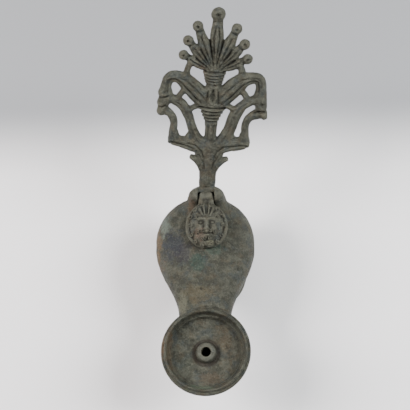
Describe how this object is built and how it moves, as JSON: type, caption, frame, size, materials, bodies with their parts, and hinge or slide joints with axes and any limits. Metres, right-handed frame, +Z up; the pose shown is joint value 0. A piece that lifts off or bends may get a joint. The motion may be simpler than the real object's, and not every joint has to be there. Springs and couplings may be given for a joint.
{
  "type": "oil lamp",
  "caption": "Bronze oil lamp with a pear-shaped reservoir on a round foot, a dished nozzle, a hinged mask lid and a tall openwork palmette handle.",
  "frame": {"origin": "on the ground, under the middle of the bounding box", "axes": "+Z up, the nozzle towards -Y, the handle towards +Y, +X to the right seen from the nozzle"},
  "size_m": [0.0598, 0.1718, 0.1233],
  "materials": {
    "bronze": "dark green patina, satin to matt",
    "worn_bronze": "dark brown, worn"
  },
  "bodies": {
    "lamp": {"lamp": "bronze", "hinge_pin": "worn_bronze"},
    "lid": {"mask_lid": "bronze"}
  },
  "joints": [
    {"name": "lid_hinge", "type": "hinge", "parent": "lamp", "child": "lid", "pos_m": [-0.0026, 0.01718, 0.0502], "axis": [-1, 0, 0], "range_deg": [0, 100]}
  ]
}
